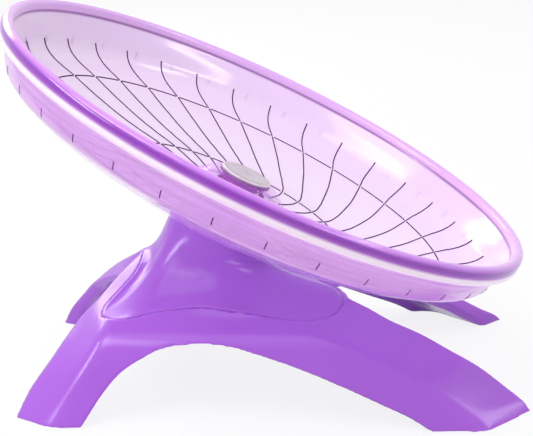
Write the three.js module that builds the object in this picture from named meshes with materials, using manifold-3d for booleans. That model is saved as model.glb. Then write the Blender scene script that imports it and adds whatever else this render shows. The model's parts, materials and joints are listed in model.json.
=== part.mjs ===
// Flying saucer wheel: a tilted, clear purple saucer that spins on a ball bearing,
// carried by a hollow four-legged stand. Millimetres, +Z up, origin on the floor under
// the middle of the whole. +X is the low side of the saucer, -Y the front. The parts are
// drawn from the point under the rim's centre and moved to the origin at the end.

import * as THREE from 'three';
import { mergeVertices } from 'three/addons/utils/BufferGeometryUtils.js';
import Module from 'manifold-3d';

const wasm = await Module();
wasm.setup();

// Driving dimensions of the whole
const saucerDiameter = 180;
const tiltDegrees = 26.65;
const standLeftReach = 78.6;
const standRightReach = 79.6;
const standHalfDepth = 56;
const shellHeight = 41.2;
const neckRise = 38.9;

// Clearances
const fitGap = 0.3;
const runningGap = 0.8;
const cutOverrun = 2;
const sideArchOverrun = 12;

// Saucer wall and lip
const saucerRadius = saucerDiameter / 2;
const bowlDepth = 26.3;
const floorThickness = 2;
const wallThickness = 2.1;
const lipWidth = 3.6;
const lipHeight = 6.3;
const lipRise = 1.85;

// Raised swirl ribs and rings on the inside of the bowl
const ribCount = 34;
const ribHeight = 0.55;
const ribBaseWidth = 0.95;
const ribStartRadius = 24.5;
const ribEndRadius = 82.8;
const innerRingRadius = 38.4;
const outerRingRadius = 69.7;

// Hub cone, bearing pocket and cap seat, heights measured down from the rim plane
const hubBaseRadius = 24.5;
const hubHeight = 9.2;
const hubTopRadius = 9.8;
const hubWall = 1.7;
const pocketWall = 2;
const capSeatDepth = 1;

// Ball bearing
const bearingBore = 5;
const bearingDiameter = 16;
const bearingWidth = 5;
const bearingTopDepth = 21.4;
const raceThickness = 1.2;
const ballCount = 7;
const ballDiameter = 2.3;
const cageThickness = 0.7;
const cageHeight = 3.6;
const shieldThickness = 0.3;

// Retaining disc, its screw and the clear cap
const discDiameter = 13;
const discThickness = 1.9;
const discFootHeight = 0.4;
const discFootRadius = 3.6;
const discBevel = 0.3;
const discScrewHole = 1.4;
const capDiameter = 17.2;
const capThickness = 1.6;
const capPlugHeight = 0.7;
const capPlugWall = 1;
const capBevel = 0.4;
const capHollow = 0.3;

// Spindle
const spindleDiameter = 4.4;
const spindleFlangeRadius = 3.6;
const spindleFlangeThickness = 1.3;
const spindleSunkLength = 18;
const spindleScrewHole = 2.6;
const spindleScrewDepth = 6;

// Neck: column, boss, flare and skirt
const columnRadius = 17.2;
const columnTopDepth = 35;
const columnEdgeRadius = 1.6;
const bossRadius = 8.7;
const neckWall = 2.4;
const socketRadius = 6.2;
const socketFloor = 2.4;
const columnDropShare = 0.5;
const flareReachShare = 0.5;
const flareRise = 0.6;
const skirtRim = 1.2;
const screwPostRadius = 3.4;

// Leg frame
const roofThickness = 3;
const legWall = 4.6;
const deckThickness = 3;
const deckDrop = 10.7;
const padRadius = 4.2;
const padDepth = 5.7;
const coreHoleRadius = 5;

// Screws
const neckScrewShank = 2.2;
const neckScrewHole = 3;
const neckScrewHeadRadius = 2.7;
const neckScrewHeadHeight = 1.8;
const neckScrewReach = 12;
const neckScrewSpread = 9;
const neckScrewOffset = -2.3;
const retainingShank = 2;
const retainingHeadRadius = 2.5;
const retainingReach = 7.5;
const driveWidth = 0.5;
const driveLength = 2.6;
const driveDepth = 0.7;

// Facets
const latheFacets = 28;
const smallFacets = 16;
const rimPoints = 51;
const hubPoints = 34;
const bellPoints = 40;
const bellRows = 6;
const cornerSteps = 3;
const ballFacets = 10;

// Plan outline of the leg frame at each height, for the front half. Heights are shares
// of shellHeight, x of the stand's reach on that side, y of standHalfDepth. The corners
// run: left side, left foot corner, left ridge, right ridge, right foot corner, right side.
const shellLevels = [
  { heightShare: 0, xShares: [-1, -1, -0.847, 0.814, 1.018, 1.018], yShares: [0, 0.759, 0.907, 1, 0.7, 0] },
  { heightShare: 0.06, xShares: [-0.986, -0.984, -0.829, 0.771, 0.99, 0.99], yShares: [0, 0.73, 0.893, 0.981, 0.667, 0] },
  { heightShare: 0.146, xShares: [-0.965, -0.96, -0.804, 0.71, 0.923, 0.925], yShares: [0, 0.688, 0.873, 0.954, 0.6, 0] },
  { heightShare: 0.267, xShares: [-0.921, -0.912, -0.766, 0.619, 0.828, 0.832], yShares: [0, 0.643, 0.85, 0.911, 0.54, 0] },
  { heightShare: 0.376, xShares: [-0.877, -0.865, -0.73, 0.528, 0.712, 0.719], yShares: [0, 0.589, 0.83, 0.875, 0.473, 0] },
  { heightShare: 0.473, xShares: [-0.838, -0.827, -0.697, 0.433, 0.6, 0.61], yShares: [0, 0.505, 0.805, 0.835, 0.429, 0] },
  { heightShare: 0.607, xShares: [-0.7, -0.765, -0.655, 0.232, 0.415, 0.43], yShares: [0, 0.375, 0.745, 0.75, 0.31, 0] },
  { heightShare: 0.711, xShares: [-0.65, -0.706, -0.617, 0, 0.235, 0.24], yShares: [0, 0.321, 0.616, 0.616, 0.25, 0] },
  { heightShare: 0.825, xShares: [-0.598, -0.6425, -0.553, -0.229, -0.1, -0.075], yShares: [0, 0.196, 0.37, 0.56, 0.2, 0] },
  { heightShare: 0.942, xShares: [-0.547, -0.566, -0.541, -0.445, -0.363, -0.337], yShares: [0, 0.054, 0.15, 0.25, 0.125, 0] },
  { heightShare: 0.981, xShares: [-0.534, -0.538, -0.528, -0.503, -0.48, -0.47], yShares: [0, 0.025, 0.08, 0.12, 0.06, 0] },
  { heightShare: 1, xShares: [-0.524, -0.523, -0.519, -0.513, -0.509, -0.505], yShares: [0, 0.012, 0.04, 0.05, 0.03, 0] },
];
const cornerRoundShares = [0, 0.015, 0.05, 0.05, 0.012, 0];
const wallShares = [0.48, 0.48, 0.7, 1, 1, 1];
const edgeSteps = [2, 1, 5, 1, 2];

// Arch cut through the frame from front to back: x of the stand's reach on that side,
// with height as a share of shellHeight
const frontArchShares = [
  [-0.722, 0], [-0.687, 0.098], [-0.646, 0.211], [-0.57, 0.376], [-0.49, 0.473], [-0.411, 0.539],
  [-0.28, 0.57], [-0.16, 0.556], [-0.028, 0.495], [0.122, 0.405], [0.271, 0.294], [0.418, 0.175],
  [0.529, 0.083], [0.603, 0],
];

// Arch from side to side. It widens at both ends, where the legs' end faces are cut, so
// each level gives the [x, y] of the outer and the inner edge of those faces
const sideArchLevels = [
  { heightShare: 0, leftShares: [[-1, 0.75], [-0.943, 0.71]], rightShares: [[0.999, 0.716], [0.921, 0.611]] },
  { heightShare: 0.06, leftShares: [[-0.986, 0.721], [-0.927, 0.681]], rightShares: [[0.972, 0.683], [0.892, 0.577]] },
  { heightShare: 0.146, leftShares: [[-0.965, 0.679], [-0.905, 0.64]], rightShares: [[0.908, 0.627], [0.848, 0.528]] },
  { heightShare: 0.267, leftShares: [[-0.92, 0.615], [-0.862, 0.57]], rightShares: [[0.816, 0.571], [0.76, 0.464]] },
  { heightShare: 0.376, leftShares: [[-0.873, 0.548], [-0.822, 0.5]], rightShares: [[0.7, 0.51], [0.65, 0.404]] },
  { heightShare: 0.473, leftShares: [[-0.833, 0.482], [-0.783, 0.43]], rightShares: [[0.596, 0.455], [0.538, 0.348]] },
  { heightShare: 0.552, leftShares: [[-0.786, 0.375], [-0.74, 0.33]], rightShares: [[0.484, 0.393], [0.4, 0.295]] },
  { heightShare: 0.607, leftShares: [[-0.747, 0.293], [-0.705, 0.25]], rightShares: [[0.414, 0.327], [0.339, 0.238]] },
  { heightShare: 0.672, leftShares: [[-0.698, 0.188], [-0.66, 0.15]], rightShares: [[0.276, 0.196], [0.22, 0.134]] },
  { heightShare: 0.716, leftShares: [[-0.662, 0.104], [-0.63, 0.075]], rightShares: [[0.205, 0.071], [0.18, 0.045]] },
  { heightShare: 0.745, leftShares: [[-0.64, 0.01], [-0.62, 0.008]], rightShares: [[0.14, 0.01], [0.13, 0.008]] },
];

// Lower edge of the neck's skirt, front half, from the left side to the right side: x of
// the stand's reach on that side, y of standHalfDepth, height of shellHeight
const skirtShares = [
  [-0.528, 0, 0.991], [-0.532, 0.15, 0.943], [-0.55, 0.228, 0.889], [-0.605, 0.334, 0.8], [-0.657, 0.459, 0.719],
  [-0.656, 0.532, 0.695], [-0.611, 0.602, 0.69], [-0.54, 0.61, 0.713], [-0.465, 0.577, 0.736], [-0.366, 0.557, 0.756],
  [-0.267, 0.557, 0.773], [-0.169, 0.582, 0.762], [-0.072, 0.594, 0.737], [0.026, 0.607, 0.701], [0.121, 0.605, 0.667],
  [0.197, 0.55, 0.654], [0.256, 0.445, 0.654], [0.284, 0.293, 0.679], [0.265, 0.158, 0.698], [0.237, 0.09, 0.71],
  [0.183, 0, 0.725],
];

// Inside surface of the bowl between the rib ends: radius as a share of saucerRadius,
// depth as a share of bowlDepth, and the angle in degrees by which the ribs have turned
const bowlRows = [
  { radiusShare: 0.2722, depthShare: 1, turn: -22 },
  { radiusShare: 0.375, depthShare: 0.993, turn: -20.9 },
  { radiusShare: 0.467, depthShare: 0.964, turn: -16.8 },
  { radiusShare: 0.525, depthShare: 0.933, turn: -13.2 },
  { radiusShare: 0.583, depthShare: 0.882, turn: -9.6 },
  { radiusShare: 0.645, depthShare: 0.82, turn: -6.2 },
  { radiusShare: 0.71, depthShare: 0.74, turn: -3.2 },
  { radiusShare: 0.822, depthShare: 0.568, turn: 1.9 },
  { radiusShare: 0.862, depthShare: 0.495, turn: 2.9 },
  { radiusShare: 0.92, depthShare: 0.353, turn: 4 },
];
const innerRingRow = { depthShare: 0.98, turn: -19.2 };
const outerRingRow = { depthShare: 0.645, turn: 0 };

// Upper wall and outside of the bowl, same shares as the rows above
const upperWallShares = [[0.933, 0.247], [0.943, 0.152], [0.953, 0.091]];
const outerWallShares = [
  [0.956, 0.266], [0.947, 0.361], [0.936, 0.449], [0.916, 0.529], [0.884, 0.593], [0.84, 0.654],
  [0.778, 0.722], [0.678, 0.837], [0.584, 0.951], [0.511, 1.03], [0.43, 1.072],
];
// Hub cone, as shares of the way from its top edge to its base and of its height
const hubConeShares = [[0.14, 0.14], [0.28, 0.34], [0.42, 0.53], [0.59, 0.71], [0.79, 0.88]];

function facetedSolid(geometry) {
  const bare = geometry.clone();
  bare.deleteAttribute('normal');
  bare.deleteAttribute('uv');
  const merged = mergeVertices(bare, 1e-4);
  return new wasm.Manifold(new wasm.Mesh({
    numProp: 3,
    vertProperties: Float32Array.from(merged.attributes.position.array),
    triVerts: Uint32Array.from(merged.index.array),
  }));
}

function solidGeometry(solid) {
  const mesh = solid.getMesh();
  const geometry = new THREE.BufferGeometry();
  geometry.setAttribute('position', new THREE.BufferAttribute(Float32Array.from(mesh.vertProperties), 3));
  geometry.setIndex(new THREE.BufferAttribute(Uint32Array.from(mesh.triVerts), 1));
  geometry.computeVertexNormals();
  return geometry;
}

function joined(geometries) {
  let solid = facetedSolid(geometries[0]);
  for (const geometry of geometries.slice(1)) {
    solid = solid.add(facetedSolid(geometry));
  }
  return solid;
}

function cutAway(solid, geometries) {
  let rest = solid;
  for (const geometry of geometries) {
    rest = rest.subtract(facetedSolid(geometry));
  }
  return rest;
}

// A closed (radius, height) outline turned about Z
function turned(outline, facets = latheFacets) {
  const points = [...outline, outline[0]].map(([radius, height]) => new THREE.Vector2(radius, height));
  return new THREE.LatheGeometry(points, facets).rotateX(Math.PI / 2);
}

function cylinder(radius, bottom, top, facets = latheFacets) {
  return turned([[0, bottom], [radius, bottom], [radius, top], [0, top]], facets);
}

function tube(innerRadius, outerRadius, bottom, top, facets = latheFacets) {
  return turned([[innerRadius, bottom], [outerRadius, bottom], [outerRadius, top], [innerRadius, top]], facets);
}

// Triangles between two closed rows of points, which may differ in number
function stitchRows(rowStartA, countA, rowStartB, countB, triangles) {
  let a = 0;
  let b = 0;
  while (a < countA || b < countB) {
    const stepA = (a + 0.5) / countA;
    const stepB = (b + 0.5) / countB;
    const pointA = rowStartA + (a % countA);
    const pointB = rowStartB + (b % countB);
    if (b >= countB || (a < countA && stepA <= stepB)) {
      triangles.push(pointA, rowStartA + ((a + 1) % countA), pointB);
      a += 1;
    } else {
      triangles.push(pointA, rowStartB + ((b + 1) % countB), pointB);
      b += 1;
    }
  }
}

// A closed surface through rows of points: either a ring of rows that meets itself, or a
// stack of rows closed by a fan at each end
function skinned(rows, meetsItself, endMiddles = []) {
  const positions = [];
  const starts = [];
  for (const row of rows) {
    starts.push(positions.length / 3);
    for (const point of row) {
      positions.push(point.x, point.y, point.z);
    }
  }
  const triangles = [];
  const last = meetsItself ? rows.length : rows.length - 1;
  for (let i = 0; i < last; i += 1) {
    const next = (i + 1) % rows.length;
    stitchRows(starts[i], rows[i].length, starts[next], rows[next].length, triangles);
  }
  if (!meetsItself) {
    const [firstMiddle = middleOf(rows[0]), lastMiddle = middleOf(rows[rows.length - 1])] = endMiddles;
    addFan(rows[0], firstMiddle, starts[0], positions, triangles, true);
    addFan(rows[rows.length - 1], lastMiddle, starts[rows.length - 1], positions, triangles, false);
  }
  const geometry = new THREE.BufferGeometry();
  geometry.setAttribute('position', new THREE.Float32BufferAttribute(positions, 3));
  geometry.setIndex(triangles);
  return outwardFacing(geometry);
}

function middleOf(row) {
  return row.reduce((sum, point) => sum.add(point), new THREE.Vector3()).divideScalar(row.length);
}

function addFan(row, centre, start, positions, triangles, reversed) {
  const middle = positions.length / 3;
  positions.push(centre.x, centre.y, centre.z);
  for (let i = 0; i < row.length; i += 1) {
    const here = start + i;
    const next = start + ((i + 1) % row.length);
    triangles.push(middle, ...(reversed ? [next, here] : [here, next]));
  }
}

function signedVolume(geometry) {
  const index = geometry.index.array;
  const corner = [0, 1, 2].map(() => new THREE.Vector3());
  let volume = 0;
  for (let i = 0; i < index.length; i += 3) {
    corner.forEach((point, k) => point.fromBufferAttribute(geometry.attributes.position, index[i + k]));
    volume += corner[0].dot(corner[1].clone().cross(corner[2]));
  }
  return volume;
}

function outwardFacing(geometry) {
  if (signedVolume(geometry) < 0) {
    const index = Array.from(geometry.index.array);
    for (let i = 0; i < index.length; i += 3) {
      [index[i + 1], index[i + 2]] = [index[i + 2], index[i + 1]];
    }
    geometry.setIndex(index);
  }
  geometry.computeVertexNormals();
  return geometry;
}

// Saucer

function swirlRow(radius, height, turnDegrees, lift) {
  const row = [];
  const halfBase = ribBaseWidth / 2 / radius;
  for (let rib = 0; rib < ribCount; rib += 1) {
    const middle = (rib / ribCount) * 2 * Math.PI + THREE.MathUtils.degToRad(turnDegrees);
    for (const [offset, rise] of [[-halfBase, 0], [0, lift.rib], [halfBase, 0]]) {
      const angle = middle + offset;
      const raised = height + Math.max(rise, lift.ring);
      row.push(new THREE.Vector3(radius * Math.cos(angle), radius * Math.sin(angle), raised));
    }
  }
  return row;
}

function plainRow(radius, height, turnDegrees) {
  const row = [];
  const count = radius > hubBaseRadius ? rimPoints : hubPoints;
  for (let i = 0; i < count; i += 1) {
    const angle = (i / count) * 2 * Math.PI + THREE.MathUtils.degToRad(turnDegrees);
    row.push(new THREE.Vector3(radius * Math.cos(angle), radius * Math.sin(angle), height));
  }
  return row;
}

function ringBumpRows(radius, { depthShare, turn }) {
  const height = -depthShare * bowlDepth;
  return [
    swirlRow(radius - ribBaseWidth / 2, height, turn, { rib: ribHeight, ring: 0 }),
    swirlRow(radius, height, turn, { rib: ribHeight, ring: ribHeight }),
    swirlRow(radius + ribBaseWidth / 2, height, turn, { rib: ribHeight, ring: 0 }),
  ];
}

function bowlInsideRows() {
  const rows = [];
  let innerRingMade = false;
  let outerRingMade = false;
  bowlRows.forEach(({ radiusShare, depthShare, turn }, i) => {
    const radius = radiusShare * saucerRadius;
    if (!innerRingMade && radius > innerRingRadius) {
      rows.push(...ringBumpRows(innerRingRadius, innerRingRow));
      innerRingMade = true;
    }
    if (!outerRingMade && radius > outerRingRadius) {
      rows.push(...ringBumpRows(outerRingRadius, outerRingRow));
      outerRingMade = true;
    }
    const atEnd = i === 0 || i === bowlRows.length - 1;
    rows.push(swirlRow(radius, -depthShare * bowlDepth, turn, { rib: atEnd ? 0 : ribHeight, ring: 0 }));
  });
  return rows;
}

const pocketRadius = bearingDiameter / 2 + fitGap;
const pocketTop = -bearingTopDepth + fitGap;
const pocketBottom = -bearingTopDepth - bearingWidth - 4 * fitGap;
const hubBoreRadius = discDiameter / 2 + runningGap;
const capSeatRadius = capDiameter / 2 + fitGap;
const hubTop = -bowlDepth + hubHeight;
const capSeat = hubTop - capSeatDepth;

function hubConeOutline(offset) {
  return hubConeShares.map(([outShare, downShare]) => [
    hubTopRadius + outShare * (hubBaseRadius - hubTopRadius) - offset / 2,
    hubTop - downShare * hubHeight - offset,
  ]);
}

function saucerGeometry() {
  const startTurn = bowlRows[0].turn;
  const endTurn = bowlRows[bowlRows.length - 1].turn;
  const lipInner = saucerRadius - lipWidth;
  const lipBottom = lipRise - lipHeight;
  const rimRound = lipWidth / 4;
  const rows = [];
  const hubOutline = [
    [hubBoreRadius, capSeat], [capSeatRadius, capSeat], [capSeatRadius, hubTop], [hubTopRadius, hubTop],
    ...hubConeOutline(0),
  ];
  hubOutline.forEach(([radius, height]) => rows.push(plainRow(radius, height, startTurn)));
  rows.push(...bowlInsideRows());
  const outsideOutline = [
    ...upperWallShares.map(([radiusShare, depthShare]) => [radiusShare * saucerRadius, -depthShare * bowlDepth]),
    [lipInner, -lipRise + fitGap],
    [lipInner, lipRise - rimRound],
    [lipInner + rimRound, lipRise - rimRound / 4],
    [saucerRadius - lipWidth / 2, lipRise],
    [saucerRadius - rimRound, lipRise - rimRound / 4],
    [saucerRadius, lipRise - rimRound],
    [saucerRadius, lipBottom + rimRound],
    [saucerRadius - rimRound, lipBottom + rimRound / 4],
    [saucerRadius - lipWidth + rimRound / 2, lipBottom - rimRound / 2],
    ...outerWallShares.map(([radiusShare, depthShare]) => [radiusShare * saucerRadius, -depthShare * bowlDepth]),
    [hubBaseRadius, -bowlDepth - floorThickness],
    ...hubConeOutline(hubWall).reverse().slice(0, -2),
    [pocketRadius + pocketWall, hubTop - hubWall * 2],
    [pocketRadius + pocketWall, pocketBottom],
    [pocketRadius, pocketBottom],
    [pocketRadius, pocketTop],
    [hubBoreRadius, pocketTop],
  ];
  outsideOutline.forEach(([radius, height], i) => {
    const wayBack = i / (outsideOutline.length - 1);
    rows.push(plainRow(radius, height, endTurn + (startTurn - endTurn) * wayBack));
  });
  return skinned(rows, true);
}

function hubCapGeometry() {
  const radius = capDiameter / 2;
  const bottom = capSeat + fitGap;
  const top = bottom + capThickness;
  const plugRadius = hubBoreRadius - fitGap;
  const plugInner = plugRadius - capPlugWall;
  return turned([
    [0, bottom + capHollow], [plugInner, bottom + capHollow], [plugInner, bottom - capPlugHeight],
    [plugRadius, bottom - capPlugHeight], [plugRadius, bottom], [radius, bottom],
    [radius, top - capBevel], [radius - capBevel, top], [0, top],
  ]);
}

// Bearing

const bearingTop = -bearingTopDepth;
const bearingBottom = bearingTop - bearingWidth;
const bearingMiddle = (bearingTop + bearingBottom) / 2;
const boreRadius = bearingBore / 2;
const raceOuter = bearingDiameter / 2;
const pitchRadius = (boreRadius + raceOuter) / 2;

function innerRaceGeometry() {
  return tube(boreRadius, boreRadius + raceThickness, bearingBottom, bearingTop);
}

function outerRaceGeometry() {
  return tube(raceOuter - raceThickness, raceOuter, bearingBottom, bearingTop);
}

function shieldGeometry(bottom) {
  const inner = boreRadius + raceThickness + fitGap;
  const outer = raceOuter - raceThickness - fitGap;
  return tube(inner, outer, bottom, bottom + shieldThickness);
}

function ballPlace(number) {
  const angle = (number / ballCount) * 2 * Math.PI;
  return new THREE.Vector3(pitchRadius * Math.cos(angle), pitchRadius * Math.sin(angle), bearingMiddle);
}

function cageGeometry() {
  const half = cageThickness / 2;
  const ring = facetedSolid(tube(
    pitchRadius - half, pitchRadius + half,
    bearingMiddle - cageHeight / 2, bearingMiddle + cageHeight / 2, latheFacets,
  ));
  const pockets = [];
  for (let number = 0; number < ballCount; number += 1) {
    const pocket = new THREE.SphereGeometry(ballDiameter / 2 + fitGap, ballFacets, ballFacets / 2);
    pockets.push(pocket.rotateX(Math.PI / 2).translate(...ballPlace(number).toArray()));
  }
  return solidGeometry(cutAway(ring, pockets));
}

function ballGeometry() {
  return new THREE.SphereGeometry(ballDiameter / 2, ballFacets, ballFacets / 2);
}

// Spindle, retaining disc and screws

const discBottom = bearingTop + fitGap;
const discTop = discBottom + discFootHeight + discThickness;
const spindleTop = discBottom - fitGap;
const flangeTop = bearingBottom - fitGap;
const flangeBottom = flangeTop - spindleFlangeThickness;
const bossTop = flangeBottom - fitGap;
const spindleBottom = bossTop - spindleSunkLength;

function spindleGeometry() {
  const radius = spindleDiameter / 2;
  const hole = spindleScrewHole / 2;
  const holeBottom = spindleTop - spindleScrewDepth;
  return turned([
    [0, spindleBottom], [radius, spindleBottom], [radius, flangeBottom], [spindleFlangeRadius, flangeBottom],
    [spindleFlangeRadius, flangeTop], [radius, flangeTop], [radius, spindleTop], [hole, spindleTop],
    [hole, holeBottom], [0, holeBottom],
  ], smallFacets);
}

const countersinkRadius = retainingHeadRadius + fitGap;
const countersinkDepth = countersinkRadius - discScrewHole;

function retainingDiscGeometry() {
  const radius = discDiameter / 2;
  return turned([
    [discScrewHole, discBottom], [discFootRadius, discBottom], [discFootRadius, discBottom + discFootHeight],
    [radius, discBottom + discFootHeight], [radius, discTop - discBevel], [radius - discBevel, discTop],
    [countersinkRadius, discTop], [discScrewHole, discTop - countersinkDepth],
  ]);
}

function crossCuts(top) {
  return [0, Math.PI / 2].map((angle) => {
    const slot = new THREE.BoxGeometry(driveLength, driveWidth, driveDepth * 2);
    return slot.rotateZ(angle).translate(0, 0, top);
  });
}

function retainingScrewGeometry() {
  const shank = retainingShank / 2;
  const top = discTop;
  const headBottom = top - (retainingHeadRadius - shank);
  const body = facetedSolid(turned([
    [0, headBottom - retainingReach + discThickness], [shank, headBottom - retainingReach + discThickness],
    [shank, headBottom], [retainingHeadRadius, top], [0, top],
  ], smallFacets));
  return solidGeometry(cutAway(body, crossCuts(top)));
}

function neckScrewGeometry() {
  const shank = neckScrewShank / 2;
  const body = facetedSolid(turned([
    [0, -neckScrewHeadHeight], [neckScrewHeadRadius, -neckScrewHeadHeight], [neckScrewHeadRadius, 0],
    [shank, 0], [shank, neckScrewReach], [0, neckScrewReach],
  ], smallFacets));
  return solidGeometry(cutAway(body, crossCuts(-neckScrewHeadHeight)));
}

// Leg frame

const rimHeight = shellHeight + neckRise;
const tilt = THREE.MathUtils.degToRad(tiltDegrees);
const saucerAxis = new THREE.Vector3(Math.sin(tilt), 0, Math.cos(tilt));
const saucerAcross = new THREE.Vector3(Math.cos(tilt), 0, -Math.sin(tilt));
const rimCentre = new THREE.Vector3(0, 0, rimHeight);
const neckScrewCentre = -columnTopDepth * saucerAxis.x + neckScrewOffset;
const seatDepth = skirtRim + fitGap;
const deckMiddleHeight = shellHeight - deckDrop;
const padBottomHeight = deckMiddleHeight - padDepth;

function reachAlongX(share) {
  return share < 0 ? share * standLeftReach : share * standRightReach;
}

function levelAt(height) {
  const share = THREE.MathUtils.clamp(height / shellHeight, 0, 1);
  let upper = 1;
  while (upper < shellLevels.length - 1 && shellLevels[upper].heightShare < share) {
    upper += 1;
  }
  const below = shellLevels[upper - 1];
  const above = shellLevels[upper];
  const way = (share - below.heightShare) / (above.heightShare - below.heightShare);
  return below.xShares.map((xShare, i) => new THREE.Vector2(
    reachAlongX(THREE.MathUtils.lerp(xShare, above.xShares[i], way)),
    -standHalfDepth * THREE.MathUtils.lerp(below.yShares[i], above.yShares[i], way),
  ));
}

// Rounds a corner between two edges with a quadratic curve
function cornerPoints(before, corner, after, trim) {
  const toBefore = before.clone().sub(corner);
  const toAfter = after.clone().sub(corner);
  const start = corner.clone().addScaledVector(toBefore, Math.min(0.45, trim / toBefore.length()));
  const end = corner.clone().addScaledVector(toAfter, Math.min(0.45, trim / toAfter.length()));
  return new THREE.QuadraticBezierCurve(start, corner, end).getPoints(cornerSteps);
}

// Closed plan outline of the frame at a height, drawn in by an inset and grown if negative
function planRow(height, levelHeight, inset) {
  const corners = levelAt(levelHeight);
  const middleX = (corners[0].x + corners[corners.length - 1].x) / 2;
  corners.forEach((corner, i) => {
    const wall = inset * wallShares[i];
    const inward = Math.sign(middleX - corner.x) || 1;
    corner.x += inward * Math.min(wall, Math.abs(middleX - corner.x) * 0.9);
    if (i > 0 && i < corners.length - 1) {
      corner.y = Math.min(corner.y + wall, corner.y * 0.1);
    }
  });
  const half = [corners[0]];
  for (let i = 1; i < corners.length; i += 1) {
    const isEnd = i === corners.length - 1;
    const rounded = isEnd
      ? [corners[i]]
      : cornerPoints(corners[i - 1], corners[i], corners[i + 1], cornerRoundShares[i] * standLeftReach);
    const from = half[half.length - 1];
    for (let step = 1; step < edgeSteps[i - 1]; step += 1) {
      half.push(from.clone().lerp(rounded[0], step / edgeSteps[i - 1]));
    }
    half.push(...rounded);
  }
  const back = half.slice(1, -1).reverse().map((point) => new THREE.Vector2(point.x, -point.y));
  return [...half, ...back].map((point) => new THREE.Vector3(point.x, point.y, height));
}

function tentGeometry(drop, inset, bottom) {
  const rows = [planRow(bottom, drop, inset)];
  for (const { heightShare } of shellLevels) {
    const height = heightShare * shellHeight - drop;
    if (height > bottom + fitGap) {
      rows.push(planRow(height, height + drop, inset));
    }
  }
  return skinned(rows, false);
}

function archGeometry(outline, length) {
  const shape = new THREE.Shape(outline);
  const cutter = new THREE.ExtrudeGeometry(shape, { depth: length, bevelEnabled: false, curveSegments: 1 });
  return cutter.translate(0, 0, -length / 2).rotateX(Math.PI / 2);
}

function frontArchCutter() {
  const curve = new THREE.SplineCurve(frontArchShares.map(([xShare, heightShare]) => (
    new THREE.Vector2(reachAlongX(xShare), heightShare * shellHeight))));
  const arch = curve.getPoints(frontArchShares.length);
  arch[0].y = 0;
  arch[arch.length - 1].y = 0;
  const below = [arch[arch.length - 1], arch[0]].map((end) => new THREE.Vector2(end.x, -cutOverrun));
  return archGeometry([...arch, ...below], 2 * (standHalfDepth + cutOverrun));
}

// The cutter runs on past both ends in the direction of the end faces
function sideArchRow({ leftShares, rightShares }, height) {
  const [leftOuter, leftInner, rightOuter, rightInner] = [...leftShares, ...rightShares].map(([xShare, yShare]) => (
    new THREE.Vector3(reachAlongX(xShare), -yShare * standHalfDepth, height)));
  const beyond = (outer, inner) => outer.clone().add(outer.clone().sub(inner).setLength(sideArchOverrun));
  const leftBeyond = beyond(leftOuter, leftInner);
  const rightBeyond = beyond(rightOuter, rightInner);
  const front = [
    leftBeyond.clone().setX(-standLeftReach - sideArchOverrun), leftBeyond, leftOuter, leftInner,
    rightInner, rightOuter, rightBeyond, rightBeyond.clone().setX(standRightReach + sideArchOverrun),
  ];
  const back = [...front].reverse().map((point) => new THREE.Vector3(point.x, -point.y, point.z));
  return [...front, ...back];
}

function sideArchCutter() {
  const rows = sideArchLevels.map((level) => sideArchRow(level, level.heightShare * shellHeight));
  return skinned([sideArchRow(sideArchLevels[0], -cutOverrun), ...rows], false);
}

const neckScrewPlaces = [[-1, -1], [-1, 1], [1, -1], [1, 1]].map(([alongX, alongY]) => (
  new THREE.Vector2(neckScrewCentre + alongX * neckScrewSpread, alongY * neckScrewSpread)));

// Lower edge of the neck's skirt, moved outward in plan and raised
function skirtLoop(outward, raise) {
  const front = skirtShares.map(([xShare, yShare, heightShare]) => new THREE.Vector3(
    reachAlongX(xShare), -yShare * standHalfDepth, heightShare * shellHeight));
  const back = front.slice(1, -1).reverse().map((point) => new THREE.Vector3(point.x, -point.y, point.z));
  const curve = new THREE.CatmullRomCurve3([...front, ...back], true, 'centripetal');
  const middle = new THREE.Vector3(neckScrewCentre, 0, 0);
  return curve.getPoints(bellPoints).slice(0, bellPoints).map((point) => {
    const away = point.clone().sub(middle).setZ(0).normalize();
    return point.addScaledVector(away, outward).setZ(point.z + raise);
  });
}

function deckMiddle(raise) {
  return new THREE.Vector3(neckScrewCentre, 0, deckMiddleHeight + raise);
}

// Everything above the deck inside the skirt's outline
function aboveDeckGeometry(outward, raise) {
  const bottom = skirtLoop(outward, raise);
  const top = bottom.map((point) => point.clone().setZ(rimHeight));
  return skinned([bottom, top], false, [deckMiddle(raise)]);
}

function deckGeometry() {
  const bottom = -seatDepth - deckThickness;
  const rows = [skirtLoop(deckThickness, bottom), skirtLoop(deckThickness, 0)];
  return skinned(rows, false, [deckMiddle(bottom), deckMiddle(0)]);
}

function legFrameGeometry() {
  const outside = facetedSolid(tentGeometry(0, 0, 0));
  const hollow = tentGeometry(roofThickness, legWall, -cutOverrun);
  let frame = cutAway(outside, [hollow, frontArchCutter(), sideArchCutter()]);
  frame = frame.add(facetedSolid(deckGeometry()).intersect(outside));
  for (const { x, y } of neckScrewPlaces) {
    const pad = cylinder(padRadius, padBottomHeight, deckMiddleHeight, smallFacets);
    frame = frame.add(facetedSolid(pad.translate(x, y, 0)));
  }
  const holes = neckScrewPlaces.map(({ x, y }) => (
    cylinder(neckScrewHole / 2, 0, shellHeight + cutOverrun, smallFacets).translate(x, y, 0)));
  const headRooms = neckScrewPlaces.map(({ x, y }) => (
    cylinder(neckScrewHeadRadius + runningGap, 0, padBottomHeight, smallFacets).translate(x, y, 0)));
  const coreHole = cylinder(coreHoleRadius, 0, shellHeight + cutOverrun).translate(neckScrewCentre, 0, 0);
  const seat = aboveDeckGeometry(fitGap, -seatDepth);
  return solidGeometry(cutAway(frame, [...holes, ...headRooms, coreHole, seat]));
}

// Neck

function pointOnSaucer(radius, angle, depth) {
  return rimCentre.clone()
    .addScaledVector(saucerAxis, -depth)
    .addScaledVector(saucerAcross, radius * Math.cos(angle))
    .add(new THREE.Vector3(0, radius * Math.sin(angle), 0));
}

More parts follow.
